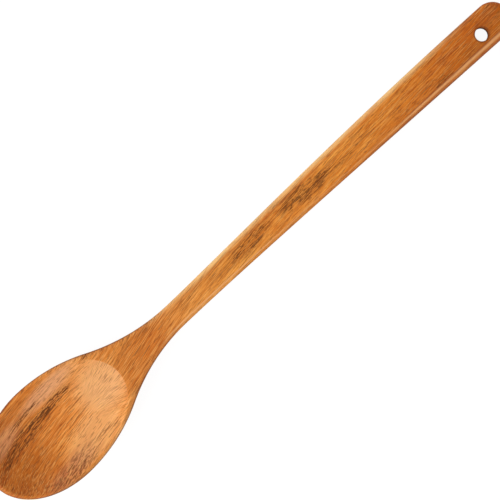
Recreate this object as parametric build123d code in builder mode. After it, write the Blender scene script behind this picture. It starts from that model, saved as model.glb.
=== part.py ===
from build123d import *
import os
from math import asin, degrees

os.makedirs("parts", exist_ok=True)

# A wooden spoon, sawn and carved from one board. It lies on a flat surface with its hollow up, the
# bowl's tip at -X and the end of the handle at +X. The origin is under the middle of its overall
# box. The underside touches the surface below the bowl and again at the end of the handle.

# Overall sizes
length = 350.0
bowl_width = 53.5
bowl_height = 16.8
neck_width = 13.1
handle_width = 19.5
end_thickness = 8.2

# Places along the spoon, from the bowl's tip
bowl_widest_at = 38.8
belly_lowest_at = 42.0
hollow_ends_at = 83.7
flat_rim_ends_at = 88.0
back_peak_at = 115.0
neck_at = 124.5

# Outline between the bowl and the end: a round shoulder, a round waist, then a slow flare. The
# shares of the flare's length set how long it keeps the direction of the neck and of the end.
shoulder_radius = 88.0
neck_share = 0.19
end_share = 0.42

# The handle sweeps a little to one side, as a hand-guided saw left it, and the neck to the other
handle_drift = 2.5
end_lean = 1.8
neck_bow = 0.4

# Underside: the height of the bowl's upright side, the round belly and the height of the arch
rim_wall = 4.2
belly_radius = 150.0
back_peak = 6.4

# Hollow: its depth, the rim left around it, and the steepness of its walls in degrees. The shares
# set how far its floor runs level and how far its walls run straight.
hollow_depth = 10.0
rim_width = 2.1
tip_rim_width = 2.4
hollow_wall_angle = 34.0
floor_share = 0.5
wall_share = 0.7

# Hanging hole
hole_diameter = 7.0
hole_from_end = 18.6
hole_offset = 1.0

# Sanded edges
top_edge_radius = 2.6
low_edge_radius = 2.0
rim_edge_radius = 0.6

# How far a cutting profile runs past what it cuts
overrun = 6.0

tip_x = -length / 2
end_x = length / 2
widest_x = tip_x + bowl_widest_at
lowest_x = tip_x + belly_lowest_at
cap_x = end_x - handle_width / 2
half_bowl = bowl_width / 2
low_rim = bowl_height - rim_wall
floor_z = bowl_height - hollow_depth


def bend(run, rise, past=0):
    """Radius and sweep of an arc that leaves the level and has risen so far after this run."""
    radius = (run**2 + rise**2) / (2 * rise)
    return radius, degrees(asin((run + past) / radius))


def flank(side, end_point, end_way):
    """One side of the outline, from the bowl's widest point to where the round end begins."""
    # Two arcs of equal sweep that leave and meet the level share one formula for their radii.
    radii, sweep = bend(neck_at - bowl_widest_at, half_bowl - neck_width / 2 - side * neck_bow)
    shoulder = JernArc((widest_x, side * half_bowl), (1, 0), shoulder_radius, -side * sweep)
    waist = JernArc(shoulder @ 1, shoulder % 1, radii - shoulder_radius, side * sweep)
    run = cap_x - (tip_x + neck_at)
    leave = waist @ 1 + waist % 1 * (neck_share * run)
    arrive = end_point - end_way * (end_share * run)
    Bezier(waist @ 1, leave, arrive, end_point)


def hollow_wall(lip_x, way):
    """Half of the hollow's profile, from a lip to the deepest point, and its run past the lip."""
    lip = Vector(lip_x, bowl_height)
    slope = Vector(way, 0).rotate(Axis.Z, -way * hollow_wall_angle)
    foot = lip + slope * (wall_share * hollow_depth / abs(slope.Y))
    level = widest_x + floor_share * (lip_x - widest_x)
    Bezier(lip, foot, (level, floor_z), (widest_x, floor_z))
    return Line(lip, lip - slope * overrun) @ 1


with BuildPart() as spoon:
    # The outline is sawn square through the board.
    with BuildSketch() as outline:
        with BuildLine():
            EllipticalCenterArc((widest_x, 0), bowl_widest_at, half_bowl, start_angle=90, arc_size=180)
            cap = CenterArc((cap_x, -handle_drift), handle_width / 2, -90 - end_lean, 180)
            flank(-1, cap @ 0, cap % 0)
            flank(1, cap @ 1, -(cap % 1))
        make_face()
    extrude(amount=bowl_height + overrun)

    # The top is level over the bowl, and falls in one long arc from there to the end.
    with BuildSketch(Plane.XZ) as top_line:
        with BuildLine():
            rim_line = Line((tip_x - overrun, bowl_height), (tip_x + flat_rim_ends_at, bowl_height))
            fall_radius, fall_sweep = bend(length - flat_rim_ends_at, bowl_height - end_thickness, overrun)
            fall = JernArc(rim_line @ 1, (1, 0), fall_radius, -fall_sweep)
            Polyline(fall @ 1, ((fall @ 1).X, -overrun), (tip_x - overrun, -overrun), rim_line @ 0)
        make_face()
    extrude(amount=bowl_width, both=True, mode=Mode.INTERSECT)
    top_edges = spoon.edges(Select.LAST).filter_by(GeomType.LINE, reverse=True)
    fillet(top_edges, top_edge_radius)

    # The underside is turned about one level axis: up at the tip, round below the bowl, then arched
    # clear of the surface under the neck and handle, and back down to it at the end.
    with BuildSketch(Plane.XZ) as keel:
        with BuildLine():
            front_radius, front_sweep = bend(belly_lowest_at, low_rim, overrun)
            front = JernArc((lowest_x, 0), (-1, 0), front_radius, -front_sweep)
            rise_radii, rise_sweep = bend(back_peak_at - belly_lowest_at, back_peak)
            belly = JernArc((lowest_x, 0), (1, 0), belly_radius, rise_sweep)
            rise = JernArc(belly @ 1, belly % 1, rise_radii - belly_radius, -rise_sweep)
            arch_radius, arch_sweep = bend(length - back_peak_at, back_peak, overrun)
            arch = JernArc(rise @ 1, (1, 0), arch_radius, -arch_sweep)
            keel_axis_z, _ = bend(half_bowl, low_rim)
            Polyline(front @ 1, ((front @ 1).X, keel_axis_z), ((arch @ 1).X, keel_axis_z), arch @ 1)
        make_face()
    revolve(axis=Axis((0, 0, keel_axis_z), (1, 0, 0)), revolution_arc=360, mode=Mode.INTERSECT)
    low_edges = spoon.edges(Select.LAST).filter_by(GeomType.BSPLINE)
    fillet(low_edges, low_edge_radius)

    # The hollow is turned about a level axis above the bowl. Its edge keeps inside the outline.
    with BuildSketch(Plane.XZ) as hollow:
        with BuildLine():
            tip_lead = hollow_wall(tip_x + tip_rim_width, 1)
            neck_lead = hollow_wall(tip_x + hollow_ends_at, -1)
            hollow_radius, _ = bend(half_bowl - rim_width, hollow_depth)
            hollow_axis_z = floor_z + hollow_radius
            Polyline(tip_lead, (tip_lead.X, hollow_axis_z), (neck_lead.X, hollow_axis_z), neck_lead)
        make_face()
    revolve(axis=Axis((0, 0, hollow_axis_z), (1, 0, 0)), revolution_arc=360, mode=Mode.SUBTRACT)
    hollow_face = spoon.faces(Select.LAST).filter_by(GeomType.REVOLUTION)
    fillet(hollow_face.edges(), rim_edge_radius)

    # The hanging hole is drilled straight down near the end, a little off the middle.
    with Locations((end_x - hole_from_end, -handle_drift - hole_offset, bowl_height)):
        Hole(hole_diameter / 2)

spoon.part.label = "spoon"
export_step(spoon.part, "parts/spoon.step")
print("spoon:", round(spoon.part.volume), "mm3,", len(spoon.faces()), "faces, valid", spoon.part.is_valid)
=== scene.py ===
"""A wooden spoon carved from one board: its carved form, its oiled finish and the light it is seen in."""

import logging
import math
from dataclasses import dataclass, field
from enum import Enum

import bpy
import numpy as np
from mathutils import Matrix, Vector
from mathutils.geometry import delaunay_2d_cdt


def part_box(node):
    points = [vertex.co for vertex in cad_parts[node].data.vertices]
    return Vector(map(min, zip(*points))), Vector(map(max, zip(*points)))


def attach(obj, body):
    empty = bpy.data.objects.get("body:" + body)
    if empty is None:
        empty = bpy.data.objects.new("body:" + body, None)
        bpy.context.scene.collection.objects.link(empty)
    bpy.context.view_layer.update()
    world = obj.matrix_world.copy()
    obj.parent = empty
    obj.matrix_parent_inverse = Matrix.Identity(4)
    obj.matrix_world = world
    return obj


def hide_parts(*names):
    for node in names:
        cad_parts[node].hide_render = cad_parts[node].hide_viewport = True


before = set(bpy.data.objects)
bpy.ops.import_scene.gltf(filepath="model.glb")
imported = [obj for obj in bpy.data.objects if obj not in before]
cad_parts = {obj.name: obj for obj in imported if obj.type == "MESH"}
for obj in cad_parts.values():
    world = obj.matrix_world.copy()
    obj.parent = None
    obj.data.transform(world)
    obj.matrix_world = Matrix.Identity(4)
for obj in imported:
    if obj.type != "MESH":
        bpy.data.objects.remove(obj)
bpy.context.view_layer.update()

LOG = logging.getLogger("spoon")
MM = 0.001

# How many places are compared with a whole line at once, so that the arrays stay small
CHUNK = 500

# The distance that a point is given when it is well away from the edge that is meant, in millimetres
FAR = 30.0

Array = np.ndarray
Colour = tuple[float, float, float, float]
Curve = tuple[Array, Array]
Length = float | Array
Span = tuple[float, float]
Label = str | int
Inputs = dict[Label, object]


class Flank(Enum):
    """The two long sides of the spoon, seen from above with the bowl at the near end."""

    LEFT = 1
    RIGHT = -1


class Face(Enum):
    """The faces of the board, as the mesh's face attribute numbers them."""

    TOP = 1
    SIDE = 0
    UNDER = -1


class Figure(Enum):
    """What a patch does to the colour there: the wood's own figure, or painted light, sheen or shade, as
    marked below.
    """

    DARK = "dark"
    FLECKED = "flecked"
    # A painted sheen on the hollow's walls.
    ROSY = "sheen_tint"
    # Painted light and sheen on the hollow's walls.
    GOLDEN = "lit_wall_tint"
    # Partly painted shade: a darker, deeper orange at the bowl's tip and near the handle's end.
    DEEP = "deep"
    # Painted shade with a dull sheen, on the bowl's right wall.
    MAUVE = "mauve_shade"


def tone(red: float, green: float, blue: float) -> Colour:
    """A colour for a node, from its red, green and blue on a screen, 0 to 255."""
    linear = [((c / 255 + 0.055) / 1.055) ** 2.4 if c > 10 else c / 255 / 12.92 for c in (red, green, blue)]
    return linear[0], linear[1], linear[2], 1.0


def stand(name: str, data: bpy.types.ID) -> bpy.types.Object:
    """Puts a new object with this data in the scene."""
    made = bpy.data.objects.new(name, data)
    bpy.context.scene.collection.objects.link(made)
    return made


def direction(angle: Length) -> Array:
    """Unit directions at these angles, in radians."""
    return np.stack((np.cos(angle), np.sin(angle)), -1)


def quarter_turn(ways: Array) -> Array:
    """Directions turned anticlockwise by a quarter turn."""
    return np.stack((-ways[:, 1], ways[:, 0]), 1)


def unit(ways: Array) -> Array:
    """Directions brought to a length of one."""
    return ways / np.linalg.norm(ways, axis=1)[:, None]


def arc_radius(run: float, rise: float) -> float:
    """Radius of an arc that leaves the level and has risen so far after this run."""
    return (run**2 + rise**2) / (2 * rise)


def fall_of_arc(radius: Length, run: Length) -> Length:
    """How far an arc that starts level has left the level after this run."""
    return radius - np.sqrt(np.maximum(radius**2 - run**2, 0))


def soft_least(one: Array, other: Array, reach: float) -> Array:
    """The lesser of two heights, with the ridge rounded where they differ by less than the reach."""
    share = np.maximum(reach - np.abs(one - other), 0) / reach
    return np.minimum(one, other) - share**2 * reach / 4


def turned(axis: float, profile: Array, y: Array) -> Array:
    """Height of a surface turned about a level axis, or of that axis where the surface runs out."""
    return axis - np.sqrt(np.maximum((axis - profile) ** 2 - y**2, 0))


def join(*curves: Curve) -> Curve:
    """Curves set end to end, with their points and their directions."""
    points, ways = zip(*curves)
    return np.concatenate(points), np.concatenate(ways)


def arc(centre: Array, radius: float, start: float, sweep: float, count: int, last: bool = False) -> Curve:
    """Points along an arc.

    Args:
        centre: The arc's centre.
        radius: Its radius.
        start: Angle of its first point, in radians.
        sweep: Its sweep, positive when it runs anticlockwise.
        count: How many equal parts it is cut into.
        last: Whether its last point is given too.

    Returns:
        The points, and the unit directions of travel there.
    """
    spokes = direction(start + sweep * np.arange(count + last) / count)
    return centre + radius * spokes, math.copysign(1, sweep) * quarter_turn(spokes)


def bezier(corners: Array, count: int, last: bool = False) -> Curve:
    """Points along a cubic curve.

    Args:
        corners: Its first end, the two corners that it leans to, and its last end.
        count: How many points are given.
        last: Whether they run up to its last end.

    Returns:
        The points, and the unit directions of travel there.
    """
    t = np.linspace(0, 1, count, endpoint=last)[:, None]
    weights = ((1 - t) ** 3, 3 * t * (1 - t) ** 2, 3 * t**2 * (1 - t), t**3)
    legs = np.diff(corners, axis=0)
    ways = (1 - t) ** 2 * legs[0] + 2 * t * (1 - t) * legs[1] + t**2 * legs[2]
    return sum(weight * corner for weight, corner in zip(weights, corners)), unit(ways)


def chunks(places: Array) -> list[Array]:
    """The places in parts of at most a chunk each."""
    return np.array_split(places, len(places) // CHUNK + 1)


def distance_to_loop(places: Array, loop: Array) -> Array:
    """Distance of each place from a closed line.

    Args:
        places: Points in the plane.
        loop: The line's corners.

    Returns:
        The distances.
    """
    legs = np.roll(loop, -1, 0) - loop
    squares = (legs**2).sum(1)
    found = []
    for part in chunks(places):
        gap = part[:, None] - loop
        along = np.clip((gap * legs).sum(2) / squares, 0, 1)
        gap -= along[..., None] * legs
        found.append(np.sqrt((gap**2).sum(2).min(1)))
    return np.concatenate(found)


def inside_loop(places: Array, loop: Array) -> Array:
    """Whether each place lies inside a closed line.

    Args:
        places: Points in the plane.
        loop: The line's corners.

    Returns:
        True for each place inside.
    """
    found = np.zeros(len(places), bool)
    for (x0, y0), (x1, y1) in zip(loop, np.roll(loop, -1, 0)):
        if y0 != y1:
            spans = (y0 > places[:, 1]) != (y1 > places[:, 1])
            cut = x0 + (places[:, 1] - y0) * (x1 - x0) / (y1 - y0)
            found ^= spans & (places[:, 0] < cut)
    return found


def clear_of(places: Array, others: Array, gap: float) -> Array:
    """The places that stand more than a gap away from every other point."""
    kept = [part[((part[:, None] - others) ** 2).sum(2).min(1) > gap**2] for part in chunks(places)]
    return np.concatenate(kept)


@dataclass
class Blank:
    """The outline sawn through the board, and the line of its top. Sizes in millimetres."""

    length: float = 350.0
    bowl_width: float = 53.5
    bowl_height: float = 16.8
    neck_width: float = 13.1
    handle_width: float = 19.5
    end_thickness: float = 8.2
    bowl_widest_at: float = 38.8
    flat_rim_ends_at: float = 88.0
    neck_at: float = 124.5
    shoulder_radius: float = 88.0
    neck_share: float = 0.19
    end_share: float = 0.42
    handle_drift: float = 2.5
    end_lean: float = 1.8
    neck_bow: float = 0.4
    nose_points: int = 132
    shoulder_points: int = 38
    waist_points: int = 42
    flare_points: int = 156
    end_points: int = 47

    def __post_init__(self) -> None:
        """Settles the sizes that follow from the others, and runs the outline once."""
        self.tip_x = -self.length / 2
        self.end_x = self.length / 2
        self.widest_x = self.tip_x + self.bowl_widest_at
        self.half_bowl = self.bowl_width / 2
        self.cap = np.array((self.end_x - self.handle_width / 2, -self.handle_drift))
        run = self.length - self.flat_rim_ends_at
        self.fall_radius = arc_radius(run, self.bowl_height - self.end_thickness)
        self.points, ways = self.outline()
        self.inward = quarter_turn(ways)

    def flank(self, side: Flank) -> Curve:
        """One side of the outline, from the bowl's widest point to the round end.

        Args:
            side: Which side.

        Returns:
            Its points and directions, running towards the end.
        """
        sign = side.value
        run = self.neck_at - self.bowl_widest_at
        radii = arc_radius(run, self.half_bowl - self.neck_width / 2 - sign * self.neck_bow)
        sweep = math.asin(run / radii)
        centre = np.array((self.widest_x, sign * (self.half_bowl - self.shoulder_radius)))
        shoulder = arc(centre, self.shoulder_radius, sign * math.pi / 2, -sign * sweep, self.shoulder_points)
        neck = np.array((self.tip_x + self.neck_at, sign * self.neck_width / 2 + self.neck_bow))
        radius = radii - self.shoulder_radius
        start = -sign * (math.pi / 2 + sweep)
        waist = arc(neck + (0, sign * radius), radius, start, sign * sweep, self.waist_points)
        end_way = direction(math.radians(-self.end_lean))
        end = self.cap + self.handle_width / 2 * direction(math.radians(sign * 90 - self.end_lean))
        run = self.cap[0] - neck[0]
        corners = (neck, neck + (self.neck_share * run, 0), end - end_way * self.end_share * run, end)
        return join(shoulder, waist, bezier(np.array(corners), self.flare_points))

    def outline(self) -> Curve:
        """The closed outline, anticlockwise from above: nose, right side, round end, left side.

        Returns:
            Its points and directions of travel.
        """
        halves = np.array((self.bowl_widest_at, self.half_bowl))
        spokes = direction(math.pi / 2 + math.pi * np.arange(self.nose_points) / self.nose_points)
        nose = ((self.widest_x, 0) + halves * spokes, unit(halves * quarter_turn(spokes)))
        start = math.radians(-90 - self.end_lean)
        end = arc(self.cap, self.handle_width / 2, start, math.pi, self.end_points, True)
        left, left_ways = self.flank(Flank.LEFT)
        return join(nose, self.flank(Flank.RIGHT), end, (left[:0:-1], -left_ways[:0:-1]))

    def top_line(self, x: Array) -> Array:
        """Height of the board's top: level over the bowl, then one long falling arc."""
        run = np.maximum(x - self.tip_x - self.flat_rim_ends_at, 0)
        return self.bowl_height - fall_of_arc(self.fall_radius, run)

    def depth(self, places: Array) -> Array:
        """Distance of each place from the outline."""
        return distance_to_loop(places, self.points)


@dataclass
class Edges:
    """The sanding of the edges: round, but flat along the handle's right side. Sizes in millimetres."""

    blank: Blank
    top_radius: float = 2.6
    low_radius: float = 2.0
    arris_radius: float = 2.2
    arris_at: float = 1.7
    arris_end_at: float = 3.0
    arris_starts_at: float = 106.0
    arris_full_at: float = 124.0
    arris_widens_at: float = 235.0
    arris_stops_short: float = 6.0
    arris_fade: float = 12.0
    middle_fade: float = 3.0
    drift_runs: float = 8.0

    def __post_init__(self) -> None:
        """Settles where the arris starts to widen."""
        self.widens_x = self.blank.tip_x + self.arris_widens_at

    def arris_share(self, places: Array) -> Array:
        """How far the edge is sanded flat instead of round.

        Args:
            places: Plan places.

        Returns:
            Shares from 0 to 1, above 0 only along the right side past the shoulder.
        """
        x, y = places.T
        run = (x - self.blank.tip_x - self.arris_starts_at) / (self.arris_full_at - self.arris_starts_at)
        share = np.clip(run, 0, 1)
        end = np.clip((self.blank.end_x - self.arris_stops_short - x) / self.arris_fade, 0, 1)
        middle = -self.blank.handle_drift * np.clip(run / self.drift_runs, 0, 1)
        right = np.clip((middle - y) / self.middle_fade, 0, 1)
        return share**2 * (3 - 2 * share) * right * end

    def arris_depth(self, places: Array) -> Array:
        """Distance of the arris from the outline, which grows towards the end."""
        run = np.clip((places[:, 0] - self.widens_x) / (self.blank.end_x - self.widens_x), 0, 1)
        return self.arris_at + (self.arris_end_at - self.arris_at) * run

    def drop(self, depth: Length, share: Array, arris: Array) -> Array:
        """How far the top lies below its full height near the outline.

        Args:
            depth: Distance from the outline.
            share: How far the edge is sanded flat instead of round, 0 to 1.
            arris: Distance of the arris from the outline.

        Returns:
            The drop.
        """
        full = fall_of_arc(self.top_radius, np.clip(self.top_radius - depth, 0, self.top_radius))
        radius = self.arris_radius + arris - self.arris_at
        run = np.clip(radius - depth, radius - arris, radius)
        flat = fall_of_arc(radius, run) - fall_of_arc(radius, radius - arris)
        return full + share * (flat - full)


@dataclass
class Hollow:
    """The hollow of the bowl, turned about a level axis above it. Sizes in millimetres."""

    blank: Blank
    deep: float = 10.0
    ends_at: float = 83.7
    rim_width: float = 2.1
    tip_rim_width: float = 2.4
    wall_angle: float = 34.0
    floor_share: float = 0.5
    wall_share: float = 0.7
    ridge_reach: float = 0.45
    lead: float = 12.0
    profile_points: int = 1500

    def half_profile(self, lip_x: float, way: int) -> Array:
        """Half of the lengthwise profile, from outside a lip to the deepest point.

        Args:
            lip_x: Where the lip is.
            way: 1 when the floor lies towards +X from the lip, else -1.

        Returns:
            The profile's points, in x and z.
        """
        top, deepest_x = self.blank.bowl_height, self.blank.widest_x
        slope = math.tan(math.radians(self.wall_angle))
        drop = self.wall_share * self.deep
        foot = (lip_x + way * drop / slope, top - drop)
        level = (deepest_x + self.floor_share * (lip_x - deepest_x), top - self.deep)
        corners = np.array(((lip_x, top), foot, level, (deepest_x, top - self.deep)))
        start = (lip_x - way * self.lead, top + self.lead * slope)
        return np.vstack((start, bezier(corners, self.profile_points, True)[0]))

    def height(self, places: Array) -> Array:
        """Height of the hollow's surface.

        Args:
            places: Plan places.

        Returns:
            The heights, up to that of the axis where the surface runs out.
        """
        blank = self.blank
        near = self.half_profile(blank.tip_x + self.tip_rim_width, 1)
        far = self.half_profile(blank.tip_x + self.ends_at, -1)
        line = np.concatenate((near, far[::-1])).T
        axis = blank.bowl_height - self.deep + arc_radius(blank.half_bowl - self.rim_width, self.deep)
        profile = np.interp(places[:, 0], *line, left=axis, right=axis)
        return turned(axis, profile, places[:, 1])


@dataclass
class Underside:
    """The underside, turned about one level axis. Sizes in millimetres."""

    blank: Blank
    rim_wall: float = 4.2
    lowest_at: float = 42.0
    belly_radius: float = 150.0
    back_peak: float = 6.4
    back_peak_at: float = 115.0

    def keel(self, x: Array) -> Array:
        """Height of the underside's middle line: up at the tip, a round belly, then one long arch.

        Args:
            x: Places along the spoon.

        Returns:
            The heights.
        """
        blank = self.blank
        low_rim = blank.bowl_height - self.rim_wall
        past = x - (blank.tip_x + self.lowest_at)
        front = fall_of_arc(arc_radius(self.lowest_at, low_rim), np.maximum(-past, 0))
        run = self.back_peak_at - self.lowest_at
        radii = arc_radius(run, self.back_peak)
        belly_run = self.belly_radius * run / radii
        belly = fall_of_arc(self.belly_radius, np.clip(past, 0, belly_run))
        rise = self.back_peak - fall_of_arc(radii - self.belly_radius, np.maximum(run - past, 0))
        over = np.maximum(x - blank.tip_x - self.back_peak_at, 0)
        arch_radius = arc_radius(blank.length - self.back_peak_at, self.back_peak)
        arch = self.back_peak - fall_of_arc(arch_radius, over)
        return np.select((past < 0, past < belly_run, over > 0), (front, belly, arch), rise)

    def height(self, places: Array) -> Array:
        """Height of the underside, before its edge is sanded."""
        axis = arc_radius(self.blank.half_bowl, self.blank.bowl_height - self.rim_wall)
        return turned(axis, self.keel(places[:, 0]), places[:, 1])


@dataclass
class HangingHole:
    """The drilled hanging hole with its lightly sanded rims. Sizes in millimetres."""

    blank: Blank
    diameter: float = 7.0
    from_end: float = 18.6
    offset: float = 1.0
    flare: float = 0.35
    round_points: int = 60
    flare_rows: int = 5
    wall_rows: int = 5

    def __post_init__(self) -> None:
        """Settles where its axis is, and the radii of its wall and of its sanded rims."""
        self.centre = np.array((self.blank.end_x - self.from_end, -self.blank.handle_drift - self.offset))
        self.radius = self.diameter / 2
        self.rim_radius = self.radius + self.flare

    def ring(self, radius: float) -> Array:
        """Points round the hole's axis at a radius, anticlockwise."""
        return arc(self.centre, radius, 0, 2 * math.pi, self.round_points)[0]

    def away(self, places: Array) -> Array:
        """Distance of each place from the rim of the hole."""
        return np.linalg.norm(places - self.centre, axis=1) - self.rim_radius


@dataclass
class Grain:
    """How the wood's fibres and rings lie in the spoon. Angles in degrees, sizes in millimetres."""

    blank: Blank
    stations: tuple[float, ...] = (0, 60, 85, 105, 125, 150, 200, 350)
    slopes: tuple[float, ...] = (8, 8, 11, 13, 9, 6, 3, -1)
    drift_points: int = 701
    fan: float = 0.12
    fan_at: float = 40.0
    fan_reach: float = 35.0
    ring_tilt: float = 28.0
    root_at: float = 44.0
    root_left: float = -4.0
    root_reach: float = 30.0

    def lie(self, points: Array) -> Array:
        """Points in the wood's own axes: along the fibres, across the rings, and along the rings.

        Args:
            points: Points of the spoon.

        Returns:
            The same points, along, across and round.
        """
        run = np.linspace(0, self.blank.length, self.drift_points)
        slope = np.tan(np.radians(np.interp(run, self.stations, self.slopes)))
        drift = np.concatenate(([0.0], np.cumsum((slope[1:] + slope[:-1]) / 2 * np.diff(run))))
        x, y, z = points.T
        along = x - self.blank.tip_x
        side = y - np.interp(along, run, drift)
        side = side / (1 + self.fan * np.exp(-(((along - self.fan_at) / self.fan_reach) ** 2)))
        tilt = math.radians(self.ring_tilt)
        across = side * math.cos(tilt) + z * math.sin(tilt)
        round_rings = -side * math.sin(tilt) + z * math.cos(tilt)
        return np.stack((along, across, round_rings), 1)

    def fanned(self, points: Array) -> Array:
        """Points in the fan of fibres that the wall at the handle's end of the hollow cuts open.

        Args:
            points: Points of the spoon.

        Returns:
            Distance from the fan's root, and place round it.
        """
        x = points[:, 0] - self.blank.tip_x - self.root_at
        y = points[:, 1] - self.root_left
        radius = np.hypot(x, y)
        return np.stack((radius, np.arctan2(y, x) * self.root_reach, np.zeros(len(radius))), 1)


@dataclass
class HandSanding:
    """The long shallow waves that sanding by hand leaves. Sizes in millimetres."""

    deep: float = 0.09
    long_wave: float = 11.3
    short_wave: float = 7.1
    slant: float = 0.08
    cross_wave: float = 17.9
    cross_width: float = 4.3

    def taken(self, places: Array, shift: float) -> Array:
        """How much was taken off the sawn form, which is nowhere less than nothing.

        Args:
            places: Plan places.
            shift: A shift of the waves, so that no two faces are alike.

        Returns:
            The depth that was taken off.
        """
        x, y = places.T
        waves = np.sin(x / self.long_wave + shift + self.slant * y) + np.sin(x / self.short_wave + 2 * shift)
        cross = np.sin(x / self.cross_wave + y / self.cross_width + 3 * shift)
        return self.deep * (3 + waves + cross) / 6


@dataclass
class Fineness:
    """How finely the mesh is made. Sizes in millimetres, angles in degrees.

    Rings are distances from the line that they follow, and gaps are what stays free beside a line.
    """

    band_steps: int = 6
    band_step: float = 9.0
    low_steps: int = 8
    lead_rows: tuple[float, ...] = (1.3, 0.55)
    lean_probe: float = 0.6
    side_rows: int = 4
    rim_samples: int = 720
    rim_halvings: int = 26
    rim_reach: float = 60.0
    rim_middle: float = 3.0
    rim_spacing: float = 0.55
    rim_rings: tuple[float, ...] = (0, -0.13, 0.13, -0.28, 0.28, -0.5, 0.5, -0.85, 0.85, -1.35, 1.35)
    arris_rings: tuple[float, ...] = (-0.28, 0.0, 0.1, 0.49, 0.9, 1.5, 2.3)
    hole_rings: tuple[float, ...] = (0.3, 0.75, 1.4)
    top_spacing: float = 1.1
    under_spacing: float = 1.5
    clear_share: float = 0.62
    border_gap: float = 0.2
    rim_gap: float = 0.45
    hole_gap: float = 1.6
    ring_gap: float = 0.3


class Net:
    """A mesh in the making: its points, faces and what each point knows of its place."""

    def __init__(self) -> None:
        """Starts an empty mesh."""
        self.points: list[Array] = []
        self.facts: dict[str, list[Array]] = {"edge": [], "rim": [], "face": []}
        self.quads: list[Array] = []
        self.triangles: list[Array] = []
        self.count = 0

    def add(self, places: Array, height: Array, edge: Length, rim: Length, face: Face) -> Array:
        """Adds points.

        Args:
            places: Their places in the plan.
            height: Their heights.
            edge: Distance of each from the outline, below zero down the side.
            rim: Distance of each from the hollow's rim, below zero inside it.
            face: The face of the board they are on.

        Returns:
            Their numbers.
        """
        numbers = np.arange(self.count, self.count + len(places))
        self.points.append(np.column_stack((places, height)))
        for name, fact in (("edge", edge), ("rim", rim), ("face", float(face.value))):
            self.facts[name].append(np.broadcast_to(fact, len(places)))
        self.count += len(places)
        return numbers

    def wrap(self, rows: list[Array]) -> None:
        """Joins each closed row of points with the next by four-sided faces."""
        for row, following in zip(rows, rows[1:]):
            self.quads.append(np.stack((row, np.roll(row, -1), np.roll(following, -1), following), 1))

    def fill(self, loops: list[Array], inner: Array, flat: Array, upward: bool) -> None:
        """Fills the plan between closed rows with triangles.

        Args:
            loops: The outer row's numbers, then those of the hole's row.
            inner: The numbers of the free points between them.
            flat: The plan places of all these points, in the same order.
            upward: Whether the faces look up.
        """
        numbers = np.concatenate((*loops, inner))
        edges = []
        start = 0
        for loop in loops:
            edges += [(start + i, start + (i + 1) % len(loop)) for i in range(len(loop))]
            start += len(loop)
        places = [Vector(place) for place in flat.tolist()]
        whole_hull, tolerance = 0, 1e-7
        found = delaunay_2d_cdt(places, edges, [], whole_hull, tolerance, True)
        came_from = np.array([source[0] for source in found[3]])
        corners = came_from[np.array(found[2])]
        middles = flat[corners].mean(1)
        outer = len(loops[0])
        corners = corners[inside_loop(middles, flat[:outer]) & ~inside_loop(middles, flat[outer:start])]
        self.triangles.append(numbers[corners if upward else corners[:, ::-1]])


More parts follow.
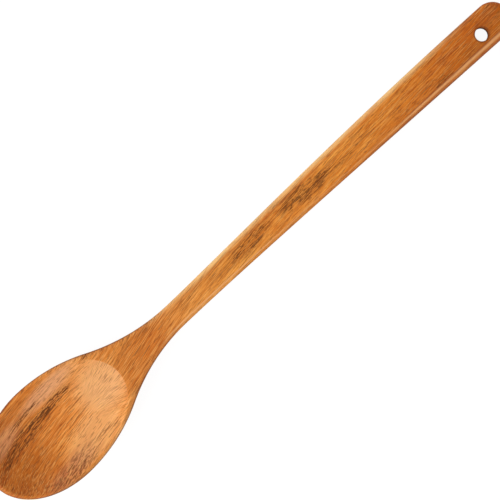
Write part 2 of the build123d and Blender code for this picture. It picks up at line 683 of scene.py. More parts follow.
@dataclass
class CarvedSpoon:
    """The whole spoon, one piece of wood."""

    blank: Blank = field(default_factory=Blank)
    sanding: HandSanding = field(default_factory=HandSanding)
    fine: Fineness = field(default_factory=Fineness)
    top_shift: float = 0.7
    under_shift: float = 2.9

    def __post_init__(self) -> None:
        """Lays out what is cut in the blank, and finds the rim of the hollow once."""
        self.edges = Edges(self.blank)
        self.hollow = Hollow(self.blank)
        self.underside = Underside(self.blank)
        self.hole = HangingHole(self.blank)
        self.grain = Grain(self.blank)
        self.rim = self.rim_line()

    def sawn_top(self, places: Array, depth: Length) -> Array:
        """Height of the top with its edges sanded, before the hollow is cut."""
        drop = self.edges.drop(depth, self.edges.arris_share(places), self.edges.arris_depth(places))
        return self.blank.top_line(places[:, 0]) - drop

    def top_height(self, places: Array, depth: Length) -> Array:
        """Height of the carved top.

        Args:
            places: Plan places.
            depth: Their distance from the outline.

        Returns:
            The heights.
        """
        sawn = self.sawn_top(places, depth)
        carved = soft_least(sawn, self.hollow.height(places), self.hollow.ridge_reach)
        return carved - self.sanding.taken(places, self.top_shift)

    def under_height(self, places: Array) -> Array:
        """Height of the underside, clear of its sanded edge."""
        return self.underside.height(places) + self.sanding.taken(places, self.under_shift)

    def over_hollow(self, places: Array) -> Array:
        """How far the uncut top stands above the hollow's surface: more than zero inside the rim."""
        return self.sawn_top(places, self.blank.depth(places)) - self.hollow.height(places)

    def rim_line(self) -> Array:
        """The line where the hollow leaves the top, found along spokes from the bowl's middle.

        Returns:
            Its points, anticlockwise at even spacing.
        """
        fine = self.fine
        centre = np.array((self.blank.widest_x + fine.rim_middle, 0.0))
        spokes = direction(np.linspace(0, 2 * math.pi, fine.rim_samples, endpoint=False))
        near = np.zeros(len(spokes))
        far = np.full(len(spokes), fine.rim_reach)
        for _ in range(fine.rim_halvings):
            middle = (near + far) / 2
            inside = self.over_hollow(centre + spokes * middle[:, None]) > 0
            near = np.where(inside, middle, near)
            far = np.where(inside, far, middle)
        line = centre + spokes * near[:, None]
        closed = np.concatenate((line, line[:1]))
        run = np.concatenate(([0.0], np.cumsum(np.linalg.norm(np.diff(closed, axis=0), axis=1))))
        places = np.arange(0, run[-1] - fine.rim_spacing / 2, fine.rim_spacing)
        return np.stack([np.interp(places, run, part) for part in closed.T], 1)

    def rim_distance(self, places: Array) -> Array:
        """Distance of each place from the hollow's rim, below zero inside it."""
        away = distance_to_loop(places, self.rim)
        return np.where(inside_loop(places, self.rim), -away, away)

    def hexes(self, spacing: float) -> Array:
        """Places at even spacing over the whole box, in rows that stand half a step apart.

        Args:
            spacing: Their distance from each other.

        Returns:
            The places.
        """
        blank = self.blank
        rows = np.arange(-blank.half_bowl, blank.half_bowl, spacing * math.sqrt(3) / 2)
        x, y = np.meshgrid(np.arange(blank.tip_x, blank.end_x, spacing), rows)
        x[1::2] += spacing / 2
        return np.column_stack((x.ravel(), y.ravel()))

    def top_rings(self, border: Array) -> list[Array]:
        """The rows of places that follow the hollow's rim and the arris.

        Args:
            border: The row that bounds the top.

        Returns:
            The places of each row.
        """
        blank, fine = self.blank, self.fine
        ahead = unit(np.roll(self.rim, -1, 0) - np.roll(self.rim, 1, 0))
        rings = np.concatenate([self.rim - quarter_turn(ahead) * ring for ring in fine.rim_rings])
        rings = rings[inside_loop(rings, border)]
        found = [clear_of(rings, border, fine.border_gap)]
        arris = self.edges.arris_depth(blank.points)
        for ring in fine.arris_rings:
            row = blank.points + blank.inward * (arris + ring)[:, None]
            row = row[inside_loop(row, border)]
            row = row[distance_to_loop(row, self.rim) > fine.rim_gap]
            found.append(row[self.hole.away(row) >= fine.hole_gap])
        return found

    def free_places(self, border: Array, top: bool) -> Array:
        """The free plan places between the border row and the hole's rim.

        Args:
            border: The row that bounds them.
            top: Whether they are for the top.

        Returns:
            The places.
        """
        hole, fine = self.hole, self.fine
        rings = [hole.ring(hole.rim_radius + ring) for ring in fine.hole_rings]
        found = np.concatenate(rings + self.top_rings(border) if top else rings)
        spacing = fine.top_spacing if top else fine.under_spacing
        hexes = self.hexes(spacing)
        hexes = hexes[inside_loop(hexes, border)]
        hexes = hexes[hole.away(hexes) > fine.hole_rings[-1] + fine.ring_gap]
        hexes = clear_of(hexes, np.concatenate((border, found)), spacing * fine.clear_share)
        return np.concatenate((found, hexes))

    def build_side(self, net: Net) -> tuple[Array, Array, Array, Array]:
        """Builds the edge all round: sanded low edge, sawn side and sanded top edge.

        Args:
            net: The mesh in the making.

        Returns:
            The plan places and numbers of the lowest inner row, then those of the highest inner row.
        """
        fine, low = self.fine, self.edges.low_radius
        line, inward = self.blank.points, self.blank.inward
        drop = self.under_height(line) - self.under_height(line + inward * fine.lean_probe)
        lean = np.arctan(np.maximum(drop / fine.lean_probe, 0))
        turns = [(math.pi / 2 - lean) * step / fine.low_steps for step in range(fine.low_steps, -1, -1)]
        depths = [low * (1 - np.cos(turn)) for turn in turns]
        middle = self.under_height(line + inward * depths[0][:, None]) + low * np.sin(turns[0])
        rows = []
        for lead in fine.lead_rows:
            depth = depths[0] + lead
            places = line + inward * depth[:, None]
            rows.append((places, self.under_height(places), depth, Face.UNDER))
        for depth, turn in zip(depths, turns):
            rows.append((line + inward * depth[:, None], middle - low * np.sin(turn), depth, Face.UNDER))
        top_edge = self.top_height(line, 0.0)
        lowest = rows[-1][1]
        for step in range(1, fine.side_rows):
            height = lowest + (top_edge - lowest) * step / fine.side_rows
            rows.append((line, height, height - top_edge, Face.SIDE))
        for step in range(fine.band_steps + 1):
            depth = self.edges.top_radius * (1 - math.cos(math.radians(fine.band_step * step)))
            places = line + inward * depth
            rows.append((places, self.top_height(places, depth), depth, Face.TOP))
        numbers = []
        for places, height, edge, face in rows:
            rim = self.rim_distance(places) if face is Face.TOP else FAR
            numbers.append(net.add(places, height, edge, rim, face))
        net.wrap(numbers)
        return rows[0][0], numbers[0], rows[-1][0], numbers[-1]

    def drill(self, net: Net, ring: Array) -> tuple[Array, Array]:
        """Builds the hole's sanded rims and its wall.

        Args:
            net: The mesh in the making.
            ring: Plan places of the rim.

        Returns:
            Numbers of the ring on the top and of the ring on the underside.
        """
        hole = self.hole
        depth = self.blank.depth(ring)
        high, low = self.top_height(ring, depth), self.under_height(ring)
        upper = net.add(ring, high, depth, FAR, Face.TOP)
        lower = net.add(ring, low, depth, FAR, Face.UNDER)
        turns = [math.pi / 2 * (step + 1) / hole.flare_rows for step in range(hole.flare_rows)]
        flares = [(hole.rim_radius - hole.flare * math.sin(t), hole.flare * (1 - math.cos(t))) for t in turns]
        levels = [(radius, high - fall) for radius, fall in flares]
        start, stop = high - hole.flare, low + hole.flare
        for step in range(1, hole.wall_rows):
            levels.append((hole.radius, start + (stop - start) * step / hole.wall_rows))
        levels += [(radius, low + rise) for radius, rise in reversed(flares)]
        rows = [upper]
        for radius, height in levels:
            rows.append(net.add(hole.ring(radius), height, FAR, FAR, Face.SIDE))
        net.wrap([*rows, lower])
        return upper, lower

    def build(self) -> bpy.types.Object:
        """Builds the spoon's mesh.

        Returns:
            The finished object, in metres.
        """
        net = Net()
        low_border, low_row, high_border, high_row = self.build_side(net)
        ring = self.hole.ring(self.hole.rim_radius)
        upper, lower = self.drill(net, ring)
        for border, row, hole_row, face in (
            (high_border, high_row, upper, Face.TOP),
            (low_border, low_row, lower, Face.UNDER),
        ):
            top = face is Face.TOP
            free = self.free_places(border, top)
            depth = self.blank.depth(free)
            height = self.top_height(free, depth) if top else self.under_height(free)
            inner = net.add(free, height, depth, self.rim_distance(free) if top else FAR, face)
            net.fill([row, hole_row], inner, np.concatenate((border, ring, free)), top)
        return self.finish_mesh(net)

    def finish_mesh(self, net: Net) -> bpy.types.Object:
        """Turns the finished net into an object with its attributes.

        Args:
            net: The mesh in the making.

        Returns:
            The object.
        """
        points = np.concatenate(net.points)
        faces = [face.tolist() for part in net.quads + net.triangles for face in part]
        mesh = bpy.data.meshes.new("carved_spoon")
        mesh.from_pydata((points * MM).tolist(), [], faces)
        mesh.shade_smooth()
        for name, parts in net.facts.items():
            layer = mesh.attributes.new(name, "FLOAT", "POINT")
            layer.data.foreach_set("value", np.concatenate(parts).astype(np.float32))
        for name, lie in (("grain", self.grain.lie(points)), ("fan", self.grain.fanned(points))):
            layer = mesh.attributes.new(name, "FLOAT_VECTOR", "POINT")
            layer.data.foreach_set("vector", lie.astype(np.float32).ravel())
        mesh.validate()
        mesh.update()
        LOG.info("carved_spoon: %d points, %d faces", len(points), len(faces))
        return stand("carved_spoon", mesh)

    def dress(self, made: bpy.types.Object) -> None:
        """Gives the built spoon its oiled finish."""
        made.data.materials.append(OiledWood(OiledWoodFinish(), self).material)


class Wire:
    """What a node gives. Where that is a number, it is reckoned with like a plain one."""

    def __init__(self, wiring: "Wiring", socket: bpy.types.NodeSocket) -> None:
        """Takes the socket that it comes from."""
        self.wiring = wiring
        self.socket = socket

    def __add__(self, other: object) -> "Wire":
        """The sum of the two."""
        return self.wiring.reckon("ADD", self, other)

    def __sub__(self, other: object) -> "Wire":
        """What is left when the other is taken away."""
        return self.wiring.reckon("SUBTRACT", self, other)

    def __rsub__(self, other: object) -> "Wire":
        """What is left of a plain number when this is taken away."""
        return self.wiring.reckon("SUBTRACT", other, self)

    def __mul__(self, other: object) -> "Wire":
        """The product of the two."""
        return self.wiring.reckon("MULTIPLY", self, other)

    def __truediv__(self, other: object) -> "Wire":
        """This divided by the other."""
        return self.wiring.reckon("DIVIDE", self, other)

    def __abs__(self) -> "Wire":
        """This without its sign."""
        return self.wiring.reckon("ABSOLUTE", self)

    __rmul__ = __mul__


class Wiring:
    """A node tree being wired."""

    def __init__(self, tree: bpy.types.NodeTree) -> None:
        """Takes the tree to wire."""
        self.tree = tree

    def node(self, kind: str, inputs: Inputs | None = None, **settings: object) -> bpy.types.Node:
        """Adds a node.

        Args:
            kind: The node's type, without the words Shader Node.
            inputs: What goes into its inputs, by name or number: a wire or a plain value.
            **settings: Its other settings.

        Returns:
            The node.
        """
        made = self.tree.nodes.new("ShaderNode" + kind)
        for name, value in settings.items():
            setattr(made, name, value)
        for name, value in (inputs or {}).items():
            self.feed(value, made.inputs[name])
        return made

    def feed(self, value: object, socket: bpy.types.NodeSocket) -> None:
        """Links a wire to a socket, or sets a plain value there."""
        if isinstance(value, Wire):
            self.tree.links.new(value.socket, socket)
        else:
            socket.default_value = value

    def wire(self, kind: str, inputs: Inputs | None = None, output: Label = 0, **settings: object) -> Wire:
        """Adds a node and gives the wire from one of its outputs."""
        return Wire(self, self.node(kind, inputs, **settings).outputs[output])

    def reckon(self, operation: str, one: object, other: object = 0.0) -> Wire:
        """Adds a sum on numbers and gives its result."""
        return self.wire("Math", {0: one, 1: other}, operation=operation)

    def greatest(self, one: object, other: object) -> Wire:
        """Gives the greater of two numbers."""
        return self.reckon("MAXIMUM", one, other)

    def attribute(self, name: str, output: str = "Fac") -> Wire:
        """Gives what each point of the mesh holds under this name."""
        return self.wire("Attribute", output=output, attribute_name=name)

    def parts(self, vector: Wire) -> list[Wire]:
        """Gives the three numbers of a vector."""
        return [Wire(self, socket) for socket in self.node("SeparateXYZ", {0: vector}).outputs]

    def vector(self, x: object, y: object, z: object) -> Wire:
        """Gives a vector of three numbers."""
        return self.wire("CombineXYZ", {0: x, 1: y, 2: z})

    def reckon_vector(self, operation: str, inputs: Inputs, output: Label = 0) -> Wire:
        """Adds a sum on vectors and gives its result."""
        return self.wire("VectorMath", inputs, output, operation=operation)

    def noise(self, place: Wire, detail: object, scale: float = 1.0, roughness: float = 0.5) -> Wire:
        """Adds an even noise and gives its value."""
        inputs = {"Vector": place, "Scale": scale, "Detail": detail, "Roughness": roughness}
        return self.wire("TexNoise", inputs)

    def span(self, value: Wire, low: object, high: object, to_low: float = 0.0, to_high: float = 1.0) -> Wire:
        """Adds a smooth step from one value to another and gives its result."""
        inputs = {"Value": value, "From Min": low, "From Max": high, "To Min": to_low, "To Max": to_high}
        return self.wire("MapRange", inputs, interpolation_type="SMOOTHSTEP")

    def fade(self, value: Wire, low: object, high: object, to_high: float = 0.0) -> Wire:
        """Adds a smooth step down from one and gives its result."""
        return self.span(value, low, high, 1.0, to_high)

    def ramp(self, value: Wire, stops: tuple[tuple[float, Colour], ...]) -> Wire:
        """Adds a colour ramp.

        Args:
            value: Where on the ramp a point is, 0 to 1.
            stops: The ramp's places and their colours.

        Returns:
            The ramp's colour.
        """
        made = self.node("ValToRGB", {0: value})
        strip = made.color_ramp.elements
        while len(strip) < len(stops):
            strip.new(0.5)
        for stop, (place, colour) in zip(strip, stops):
            stop.position = place
            stop.color = colour
        return Wire(self, made.outputs[0])

    def seen(self) -> Wire:
        """Gives 1 where the camera looks, also by a reflection or through glass, and 0 for other light.

        Returns:
            The wire.
        """
        names = ("Is Camera Ray", "Is Glossy Ray", "Is Transmission Ray")
        rays = self.node("LightPath").outputs
        camera, glossy, through = (Wire(self, rays[name]) for name in names)
        return self.greatest(camera, self.greatest(glossy, through))


def wiring_of(owner: bpy.types.Material | bpy.types.World) -> Wiring:
    """Clears the nodes of a material or a world, to wire it anew."""
    owner.use_nodes = True
    owner.node_tree.nodes.clear()
    return Wiring(owner.node_tree)


class Effect:
    """A shader node group that more than one part of a finish uses."""

    def __init__(self, name: str, output: str, **inputs: object) -> None:
        """Makes the group, with nothing in it yet.

        Args:
            name: The group's name.
            output: The name of its one output, a number.
            **inputs: The usual value of each input, a number or a vector, by its name.
        """
        self.tree = bpy.data.node_groups.new(name, "ShaderNodeTree")
        for label, usual in inputs.items():
            kind = "NodeSocketVector" if isinstance(usual, tuple) else "NodeSocketFloat"
            socket = self.tree.interface.new_socket(name=label, in_out="INPUT", socket_type=kind)
            socket.default_value = usual
        self.tree.interface.new_socket(name=output, in_out="OUTPUT", socket_type="NodeSocketFloat")
        self.wiring = Wiring(self.tree)
        given = self.tree.nodes.new("NodeGroupInput").outputs
        self.given = {label: Wire(self.wiring, given[label]) for label in inputs}
        self.result = self.tree.nodes.new("NodeGroupOutput").inputs[0]

    def place(self, wiring: Wiring, **values: object) -> Wire:
        """Places the group in a material with its own values."""
        return wiring.wire("Group", values, node_tree=self.tree)


class FibreLines(Effect):
    """Soft lines that run with the fibres."""

    def __init__(self) -> None:
        """Wires the group."""
        sizes = {"length": 60.0, "across": 2.0, "around": 4.0}
        super().__init__("Fibre Lines", "Value", lie=(0, 0, 0), **sizes, shift=0.0, detail=3.0, waver=0.4)
        w, given = self.wiring, self.given
        x, y, z = w.parts(given["lie"])
        waver = w.noise(given["lie"], detail=2.0, scale=0.045)
        bend = (waver - 0.5) * given["waver"]
        across = y / given["across"] + bend / given["across"]
        along = x / given["length"] + given["shift"]
        lines = w.noise(w.vector(along, across, z / given["around"]), given["detail"])
        w.feed(w.span(lines, 0.28, 0.72), self.result)


class PoreDashes(Effect):
    """Open pores: short dark dashes along the fibres, and dots where the fibres are cut across."""

    def __init__(self) -> None:
        """Wires the group."""
        sizes = {"length": 5.0, "width": 0.3}
        super().__init__("Pore Dashes", "Mask", lie=(0, 0, 0), **sizes, rarity=0.62, softness=0.06, shift=0.0)
        w, given = self.wiring, self.given
        x, y, z = w.parts(given["lie"])
        along = x / given["length"] + given["shift"]
        place = w.vector(along, y / given["width"], z / (given["width"] * 5.0))
        dots = w.noise(place, detail=1.0, roughness=0.4)
        w.feed(w.span(dots, given["rarity"], given["rarity"] + given["softness"]), self.result)


class Patch(Effect):
    """A soft-edged patch of the figure, long with the fibres."""

    def __init__(self) -> None:
        """Wires the group."""
        halves = {"half_length": 10.0, "half_width": 2.0, "half_round": 8.0}
        super().__init__("Figure Patch", "Mask", lie=(0, 0, 0), centre=(0, 0, 0), **halves)
        w, given = self.wiring, self.given
        gap = w.reckon_vector("SUBTRACT", {0: given["lie"], 1: given["centre"]})
        reach = w.vector(*(given[name] for name in halves))
        away = w.reckon_vector("LENGTH", {0: w.reckon_vector("DIVIDE", {0: gap, 1: reach})}, "Value")
        w.feed(w.fade(away, 0.4, 1.15), self.result)


class Band(Effect):
    """A soft line at a distance from an edge."""

    def __init__(self) -> None:
        """Wires the group."""
        super().__init__("Edge Band", "Mask", distance=0.0, at=0.0, half_width=0.3)
        away = abs(self.given["distance"] - self.given["at"])
        self.wiring.feed(self.wiring.fade(away, 0.0, self.given["half_width"]), self.result)


@dataclass(frozen=True)
class FigurePatch:
    """One patch of the figure, placed by where its middle shows on the top. Sizes in millimetres."""

    from_tip: float
    to_left: float
    half_length: float
    half_width: float
    strength: float
    half_round: float


FIGURE = {
    Figure.DARK: (
        FigurePatch(44.0, 10.8, 21.0, 2.5, 1.1, 14.0),
        FigurePatch(24.0, 7.4, 22.0, 4.2, 1.0, 14.0),
        FigurePatch(33.0, 16.0, 16.0, 1.6, 0.7, 9.0),
        FigurePatch(91.3, 5.9, 11.0, 4.2, 0.36, 9.0),
        FigurePatch(79.7, 17.6, 6.0, 1.6, 0.8, 3.0),
        FigurePatch(108.0, 6.6, 9.0, 2.2, 0.4, 5.0),
        FigurePatch(126.3, 5.0, 8.0, 1.5, 0.2, 4.0),
        FigurePatch(137.1, -1.8, 6.0, 1.2, 0.12, 4.0),
        FigurePatch(157.2, 0.1, 12.0, 2.2, 0.26, 5.0),
        FigurePatch(175.2, 1.0, 18.0, 4.6, 0.6, 7.0),
        FigurePatch(196.7, 6.0, 6.0, 0.8, 0.6, 2.0),
        FigurePatch(207.0, 1.8, 14.0, 4.8, 0.72, 8.0),
        FigurePatch(218.0, 0.0, 14.0, 4.2, 0.85, 7.0),
        FigurePatch(240.0, -1.0, 16.0, 2.0, 0.4, 5.0),
        FigurePatch(302.0, -6.8, 8.0, 2.8, 0.5, 4.0),
        FigurePatch(325.0, -8.0, 12.0, 3.0, 0.25, 5.0),
        FigurePatch(341.0, -1.0, 9.0, 6.0, 0.35, 6.0),
    ),
    Figure.FLECKED: (FigurePatch(33.0, -21.5, 23.0, 5.0, 1.0, 8.0),),
    Figure.ROSY: (
        FigurePatch(52.0, 18.6, 24.0, 5.0, 0.9, 8.0),
        FigurePatch(17.0, 13.0, 16.0, 5.0, 0.6, 8.0),
    ),
    Figure.GOLDEN: (
        FigurePatch(74.0, 1.0, 20.0, 17.0, 1.15, 15.0),
        FigurePatch(54.0, -15.0, 24.0, 9.0, 0.85, 16.0),
        FigurePatch(58.0, 17.0, 22.0, 6.0, 0.55, 14.0),
    ),
    Figure.DEEP: (
        FigurePatch(20.0, -8.0, 20.0, 10.0, 0.8, 12.0),
        FigurePatch(330.0, -6.0, 26.0, 6.0, 0.6, 12.0),
    ),
    Figure.MAUVE: (FigurePatch(32.0, -21.0, 22.0, 5.0, 0.8, 8.0),),
}


@dataclass(frozen=True)
class OiledWoodFinish:
    """Colours and gloss of the oiled board, the colours of its painted light, sheen and shade, and where its
    tones come and go.

    The places along the spoon are in millimetres from the bowl's tip. Those across it and those from
    the hole's axis are in metres.
    """

    honey: Colour = tone(246, 188, 134)
    amber: Colour = tone(216, 141, 71)
    russet: Colour = tone(180, 100, 31)
    red_line: Colour = tone(176, 90, 52)
    umber: Colour = tone(98, 50, 2)
    pore: Colour = tone(104, 50, 18)
    # Painted sheen.
    sheen_tint: Colour = tone(232, 170, 124)
    # Painted shade with a dull sheen.
    shaded_sheen_tint: Colour = tone(176, 116, 88)
    # Painted light and sheen.
    lit_wall_tint: Colour = tone(229, 168, 108)
    # Partly painted shade, with a deeper orange.
    deep: Colour = tone(174, 88, 0)
    # Painted highlight on the arris.
    arris: Colour = tone(240, 174, 112)
    # Painted highlight on the left edge's rounding.
    lit_edge_tint: Colour = tone(255, 209, 140)
    # Painted shade along the outline.
    mauve_shade: Colour = tone(100, 50, 20)
    # Painted shade on the right side and in the crease.
    side_shade: Colour = tone(136, 66, 38)
    hair: Colour = tone(238, 178, 100)
    # The bright stop at 0.2 is partly painted light on the wall at the hollow's handle end.
    lengthwise: tuple[tuple[float, Colour], ...] = (
        (0.0, (0.7, 0.42, 0.1, 1.0)),
        (0.12, (1.04, 0.82, 0.38, 1.0)),
        (0.2, (1.24, 1.2, 1.0, 1.0)),
        (0.25, (0.98, 0.75, 0.35, 1.0)),
        (0.31, (0.96, 0.7, 0.31, 1.0)),
        (0.38, (1.24, 1.22, 0.92, 1.0)),
        (0.46, (1.16, 1.05, 0.54, 1.0)),
        (0.54, (1.05, 0.79, 0.28, 1.0)),
        (0.7, (1.08, 0.82, 0.28, 1.0)),
        (1.0, (0.8, 0.42, 0.03, 1.0)),
    )
    roughness: float = 0.54
    pore_roughness: float = 0.75
    edge_roughness: float = 0.85
    line_gloss: float = 0.12
    specular: float = 0.24
    bump: float = 0.00004
    wall_comes: Span = (58.0, 70.0)
    # Where the painted highlight on the arris comes, dims and returns.
    highlight_comes: Span = (104.0, 122.0)
    highlight_dims: Span = (170.0, 205.0)
    highlight_returns: Span = (250.0, 285.0)
    # Where the painted shade in the crease comes.
    crease_shade_comes: Span = (262.0, 285.0)
    # Where the painted highlight on the left edge comes and goes.
    lit_edge_comes: Span = (96.0, 150.0)
    lit_edge_goes: Span = (285.0, 340.0)
    border_goes: Span = (240.0, 280.0)
    # Where the painted shade on the right side comes.
    flank_shade_comes: Span = (235.0, 265.0)
    # Where the painted shade along the outline dims.
    outline_shade_dims: Span = (96.0, 125.0)
    right_side: Span = (-0.004, -0.001)
    left_side: Span = (0.0, 0.003)
    dull_ring: Span = (0.0036, 0.0042)
    # Painted shade round the hole's rim.
    hole_rim_shade: Span = (0.0038, 0.0046)


class OiledWood:
    """The spoon's material: the board's own lines, with the wood's marks and the painted light, sheen and
    shade laid over them.
    """

    def __init__(self, look: OiledWoodFinish, spoon: CarvedSpoon) -> None:
        """Makes the material.

        Args:
            look: Its colours and gloss.
            spoon: The spoon that it is for.
        """
        self.look = look
        self.spoon = spoon
        self.material = bpy.data.materials.new("oiled_wood")
        self.w = wiring_of(self.material)
        self.lines, self.pores, self.patch, self.band = FibreLines(), PoreDashes(), Patch(), Band()
        self.find_places()
        self.lay_board()
        self.lay_pores()
        self.lay_marks()
        self.find_arris_light_and_crease_shade()
        self.lay_edges()
        self.finish()

    def find_places(self) -> None:
        """Finds where a point is: in the grain, on which face, how near which edge and in which patch."""
        w, look = self.w, self.look
        self.lie = w.attribute("grain", "Vector")
        self.fan = w.attribute("fan", "Vector")
        self.edge = w.attribute("edge")
        self.top = w.greatest(w.attribute("face"), 0.0)
        self.along = w.parts(self.lie)[0]
        self.hollow = w.fade(w.attribute("rim"), -0.15, 0.15)
        turn = abs(w.parts(self.fan)[1])
        self.wall = self.hollow * w.span(self.along, *look.wall_comes) * w.fade(turn, 9.0, 17.0)
        place = w.wire("TexCoord", output="Object")
        left = w.parts(place)[1]
        self.on_left = w.span(left, *look.left_side)
        self.on_right = w.fade(left, *look.right_side)
        level = w.reckon_vector("MULTIPLY", {0: place, 1: (1, 1, 0)})
        axis = (*self.spoon.hole.centre * MM, 0.0)
        self.from_hole = w.reckon_vector("DISTANCE", {0: level, 1: axis}, "Value")
        self.figure = {kind: self.find_figure(kind) for kind in Figure}

    def find_figure(self, kind: Figure) -> Wire:
        """Places every patch of one kind.

        Args:
            kind: What the patches do to the colour.

        Returns:
            Their joint mask.
        """
        spoon, blank = self.spoon, self.spoon.blank
        total: object = 0.0
        for one in FIGURE[kind]:
            place = np.array([[blank.tip_x + one.from_tip, one.to_left]])
            height = spoon.top_height(place, blank.depth(place))
            centre = spoon.grain.lie(np.column_stack((place, height)))[0]
            mask = self.patch.place(
                self.w,
                lie=self.lie,
                centre=tuple(centre),
                half_length=one.half_length,
                half_width=one.half_width,
                half_round=one.half_round,
            )
            total = self.w.greatest(total, mask * one.strength)
        return total

    def lay(self, share: object, colour: Wire | Colour, how: str = "MIX") -> None:
        """Lays a colour over what is there.

        Args:
            share: How much of it shows, 0 to 1.
            colour: The colour.
            how: How the two are blended.
        """
        inputs = {0: share, 6: self.colour, 7: colour}
        self.colour = self.w.wire("Mix", inputs, 2, data_type="RGBA", blend_type=how, clamp_factor=True)

    def streaks(self, **values: float) -> Wire:
        """Places fibre lines of one size."""
        return self.lines.place(self.w, lie=self.lie, **values)

    def dashes(self, **values: object) -> Wire:
        """Places pores of one size."""
        return self.pores.place(self.w, lie=self.lie, **values)

    def lay_board(self) -> None:
        """Lays the lines of the grain, a tone along the spoon that is partly painted light, and the patches
        of colour, most of them painted light, sheen or shade.
        """
        w, look, figure = self.w, self.look, self.figure
        broad = self.streaks(length=150.0, across=5.0, around=14.0, shift=4.4, detail=2.0, waver=6.0)
        self.medium = self.streaks(length=36.0, across=0.9, around=6.0, shift=11.0, detail=3.0, waver=4.0)
        self.fine = self.streaks(length=8.0, across=0.35, around=3.0, shift=23.0, detail=1.5, waver=1.5)
        self.mixed = 0.38 * broad + 0.16 * self.medium + 0.46 * self.fine
        self.colour = w.ramp(self.mixed, ((0.0, look.russet), (0.5, look.amber), (1.0, look.honey)))
        # The tone along the spoon; its bright stop at the hollow's handle end is partly painted light on the
        # wall there.
        self.lay(1.0, w.ramp(self.along / self.spoon.blank.length, look.lengthwise), "MULTIPLY")
        # Painted light and sheen on the hollow's walls.
        self.lay(figure[Figure.GOLDEN] * self.hollow * 0.72, look.lit_wall_tint)
        # Partly painted shade: darker, deeper orange at the bowl's tip and near the handle's end.
        self.lay(figure[Figure.DEEP] * 0.7, look.deep)
        # Painted sheen on the hollow's walls.
        self.lay(figure[Figure.ROSY] * 0.7, look.sheen_tint)
        # Painted shade with a dull sheen on the bowl's right wall.
        self.lay(figure[Figure.MAUVE] * 0.45, look.shaded_sheen_tint)

    def lay_pores(self) -> None:
        """Lays the pores: long and short ones, bright hairs between them, and those cut open on the wall."""
        w, look, wall = self.w, self.look, self.wall
        clump = self.streaks(length=90.0, across=2.4, around=5.0, shift=37.0, detail=1.0, waver=3.0)
        rarity = w.span(clump, 0.1, 0.9, 0.66, 0.58) + 0.3 * wall
        self.long_pores = self.dashes(length=13.0, width=0.34, rarity=rarity, shift=1.0, softness=0.05)
        rarity = 0.3 * wall + 0.585
        self.short_pores = self.dashes(length=3.8, width=0.34, rarity=rarity, shift=5.0, softness=0.05)
        hairs = self.dashes(length=12.0, width=0.3, rarity=0.55, shift=57.0, softness=0.08)
        cut = {"length": 6.0, "width": 0.29, "rarity": 0.54, "shift": 71.0, "softness": 0.08}
        self.cut_fibres = self.pores.place(w, lie=self.fan, **cut) * wall
        self.lay(0.36 * hairs, look.hair)
        self.lay(0.5 * self.long_pores, look.pore)
        self.lay(0.4 * self.short_pores, look.pore)
        self.lay(0.5 * self.cut_fibres, look.pore)

    def lay_marks(self) -> None:
        """Lays the clustered dark marks, the russet between them, and the flecks on the right wall."""
        w, look, hollow = self.w, self.look, self.hollow
        dark = self.figure[Figure.DARK]
        spots = self.dashes(length=3.4, width=0.42, rarity=0.63 - 0.11 * dark, shift=9.0, softness=0.05)
        strokes = self.dashes(length=11.0, width=0.36, rarity=0.63 - 0.085 * dark, shift=15.0, softness=0.035)
        self.marks = w.greatest(spots, 0.9 * strokes) * w.span(dark, 0.0, 0.6)
        flecks = self.dashes(length=2.6, width=0.28, rarity=0.49, shift=31.0, softness=0.09)
        self.lay(dark * (0.42 - 0.28 * hollow), look.russet)
        self.lay(self.marks * (0.14 * hollow + 0.78), look.umber)
        self.lay(flecks * self.figure[Figure.FLECKED] * 0.6, look.umber)

    def find_arris_light_and_crease_shade(self) -> None:
        """Finds the painted highlight on the arris, and the painted shade of the crease beside it near the
        handle's end.
        """
        w, look, along, edges = self.w, self.look, self.along, self.spoon.edges
        widening = w.span(along, edges.arris_widens_at, self.spoon.blank.length)
        crest = widening * (edges.arris_end_at - edges.arris_at) + edges.arris_at
        place = {"distance": self.edge, "at": crest - 0.5 * widening, "half_width": 0.8 * widening + 0.6}
        clear = w.fade(along, *look.highlight_dims, 0.4) + w.span(along, *look.highlight_returns, 0.0, 0.6)
        clear = clear * w.span(along, *look.highlight_comes)
        # Painted highlight along the arris.
        self.arris = self.band.place(w, **place) * self.top * self.on_right * clear
        # Painted shade in the crease beside the arris.
        crease = self.band.place(w, distance=self.edge, at=crest + 0.55, half_width=0.55)
        self.crease = crease * self.top * self.on_right * w.span(along, *look.crease_shade_comes)

    def lay_edges(self) -> None:
        """Lays what the edges show: a painted highlight along the left edge with a reddish line inside it,
        the painted highlight on the arris, and painted shade in the crease, on the right side, round the hole
        and along the outline.
        """
        w, look, along, edge = self.w, self.look, self.along, self.edge
        # Where the left edge's rounding gets a painted highlight.
        beside = self.on_left * (w.span(along, *look.lit_edge_comes) * w.fade(along, *look.lit_edge_goes))
        # Painted highlight on the left edge's rounding.
        pale = w.fade(edge, -0.2, 3.2) * beside * self.top * w.span(self.medium, 0.1, 0.7, 0.7, 1.0)
        near_edge = w.span(edge, -2.4, -0.4)
        # Painted shade on the right side near the handle's end.
        flank = w.fade(edge, 0.5, 1.4) * self.on_right * w.span(along, *look.flank_shade_comes) * near_edge
        # Painted shade along the outline.
        outline = w.fade(edge, 0.15, 0.8) * w.fade(along, *look.outline_shade_dims, 0.3) * near_edge
        border = self.band.place(w, distance=edge, at=3.1, half_width=0.6) * beside * self.top
        self.lay(0.3 * border * w.fade(along, *look.border_goes), look.red_line)
        # Painted highlight on the left edge.
        self.lay(0.95 * pale * w.span(edge, -0.9, 0.5), look.lit_edge_tint)
        # Painted shade in the crease.
        self.lay(0.7 * self.crease, look.side_shade)
        # Painted highlight on the arris.
        self.lay(0.85 * self.arris, look.arris)
        # Painted shade on the right side.
        self.lay(0.5 * flank, look.side_shade)
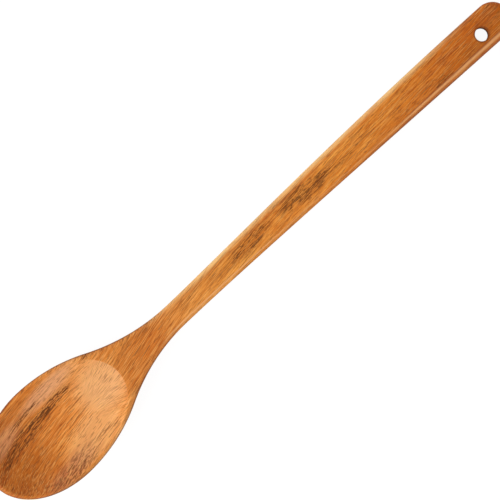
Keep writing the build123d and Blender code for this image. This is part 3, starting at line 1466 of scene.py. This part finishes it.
        # Painted shade round the hole's rim, in the pore colour.
        self.lay(0.6 * w.fade(self.from_hole, *look.hole_rim_shade), look.pore)
        # Painted shade along the outline.
        self.lay(0.6 * outline * (1.0 - beside), look.mauve_shade)

    def finish(self) -> None:
        """Adds the gloss and the open pores' relief, and joins all to the material's output."""
        w, look = self.w, self.look
        rough = look.roughness - look.line_gloss * (self.mixed - 0.5)
        rough = rough + (look.pore_roughness - look.roughness) * self.long_pores
        rough = w.greatest(rough, w.fade(self.from_hole, *look.dull_ring))
        rough = w.greatest(rough, w.span(self.edge, 0.3, 0.9, look.edge_roughness, 0.0))
        relief = -1.0 * self.long_pores - 0.5 * self.short_pores + 0.35 * self.fine
        relief = relief - 0.8 * w.greatest(self.marks, self.cut_fibres)
        normal = w.wire("Bump", {"Height": relief, "Distance": look.bump, "Strength": 1.0})
        inputs = {"Base Color": self.colour, "Roughness": rough, "Normal": normal}
        shader = w.wire("BsdfPrincipled", inputs | {"Specular IOR Level": look.specular})
        w.node("OutputMaterial", {"Surface": shader})


@dataclass(frozen=True)
class Lamp:
    """One soft lamp. Places and sizes in metres."""

    name: str
    place: tuple[float, float, float]
    size: float
    share: float

    def build(self) -> None:
        """Sets the lamp, with the share of plain daylight that it gives at the spoon."""
        data = bpy.data.lights.new(self.name, "AREA")
        data.shape = "SQUARE"
        data.size = self.size
        place = Vector(self.place)
        data.energy = math.pi**2 * place.length**3 * self.share / place.z
        made = stand(self.name, data)
        made.location = place
        made.rotation_euler = place.to_track_quat("Z", "Y").to_euler()


@dataclass
class Studio:
    """The pale floor, the soft light and the camera. Sizes in metres, but the sensor's in millimetres."""

    view_width: float = 0.2496
    view_centre: tuple[float, float] = (-0.002, -0.00165)
    view_height: float = 0.012
    camera_height: float = 1.3
    sensor_width: float = 36.0
    clip: Span = (0.05, 20.0)
    axis_angle: float = 43.6
    floor_size: float = 8.0
    floor_tone: float = 0.8
    shadow_tone: float = 0.13
    floor_glow: float = 0.93
    ambient: float = 0.46
    zenith: float = 0.15
    walls_end: Span = (0.3, 0.85)
    lamps: tuple[Lamp, ...] = (
        Lamp("key", (-1.1, 0.12, 0.85), 0.8, 0.37),
        Lamp("right_fill", (0.1, -1.2, 0.7), 0.8, 0.08),
        Lamp("left_fill", (0.3, 1.3, 0.7), 0.8, 0.1),
    )

    def build_camera(self) -> None:
        """Sets the camera straight above, turned as in the photograph."""
        data = bpy.data.cameras.new("camera")
        data.sensor_width = self.sensor_width
        data.lens = self.sensor_width * (self.camera_height - self.view_height) / self.view_width
        data.clip_start, data.clip_end = self.clip
        camera = stand("camera", data)
        spot = Matrix.Translation((*self.view_centre, self.camera_height))
        camera.matrix_world = spot @ Matrix.Rotation(math.radians(-self.axis_angle), 4, "Z")
        bpy.context.scene.camera = camera

    def build_world(self) -> None:
        """Sets the even light all round, with white walls and a dim ceiling for the gloss to show."""
        world = bpy.data.worlds.new("even_light")
        w = wiring_of(world)
        seen = w.seen()
        upward = w.parts(w.wire("TexCoord", output="Generated"))[2]
        strength = seen * w.fade(upward, *self.walls_end, self.zenith) + (1.0 - seen) * self.ambient
        light = w.wire("Background", {"Color": (1, 1, 1, 1), "Strength": strength})
        w.node("OutputWorld", {"Surface": light})
        bpy.context.scene.world = world

    def build_floor(self) -> None:
        """Lays the pale floor, which shows white and keeps the spoon's shadow."""
        half = self.floor_size / 2
        mesh = bpy.data.meshes.new("floor")
        corners = [(-half, -half, 0), (half, -half, 0), (half, half, 0), (-half, half, 0)]
        mesh.from_pydata(corners, [], [(0, 1, 2, 3)])
        material = bpy.data.materials.new("floor_white")
        w = wiring_of(material)
        greys = ((grey, grey, grey, 1) for grey in (self.floor_tone, self.shadow_tone))
        plain, shaded = (w.wire("BsdfDiffuse", {"Color": grey}) for grey in greys)
        glow = w.wire("Emission", {"Color": (1, 1, 1, 1), "Strength": 1.0})
        lit = w.wire("AddShader", {0: shaded, 1: w.wire("MixShader", {0: self.floor_glow, 2: glow})})
        w.node("OutputMaterial", {"Surface": w.wire("MixShader", {0: w.seen(), 1: plain, 2: lit})})
        mesh.materials.append(material)
        floor = stand("floor", mesh)

    def build(self) -> None:
        """Builds the whole studio."""
        self.build_camera()
        for lamp in self.lamps:
            lamp.build()
        self.build_world()
        self.build_floor()
        bpy.context.scene.view_settings.view_transform = "Standard"


def main() -> None:
    """Builds the studio and the spoon, and reports the piece."""
    logging.basicConfig(level=logging.INFO, format="%(name)s: %(message)s")
    Studio().build()
    spoon = CarvedSpoon()
    made = spoon.build()
    spoon.dress(made)
    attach(made, "root")
    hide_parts("spoon")
    low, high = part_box("spoon")
    LOG.info("carved_spoon rides on root and stands for the solid spoon, %.1f mm long", (high.x - low.x) / MM)


if __name__ == "__main__":
    main()
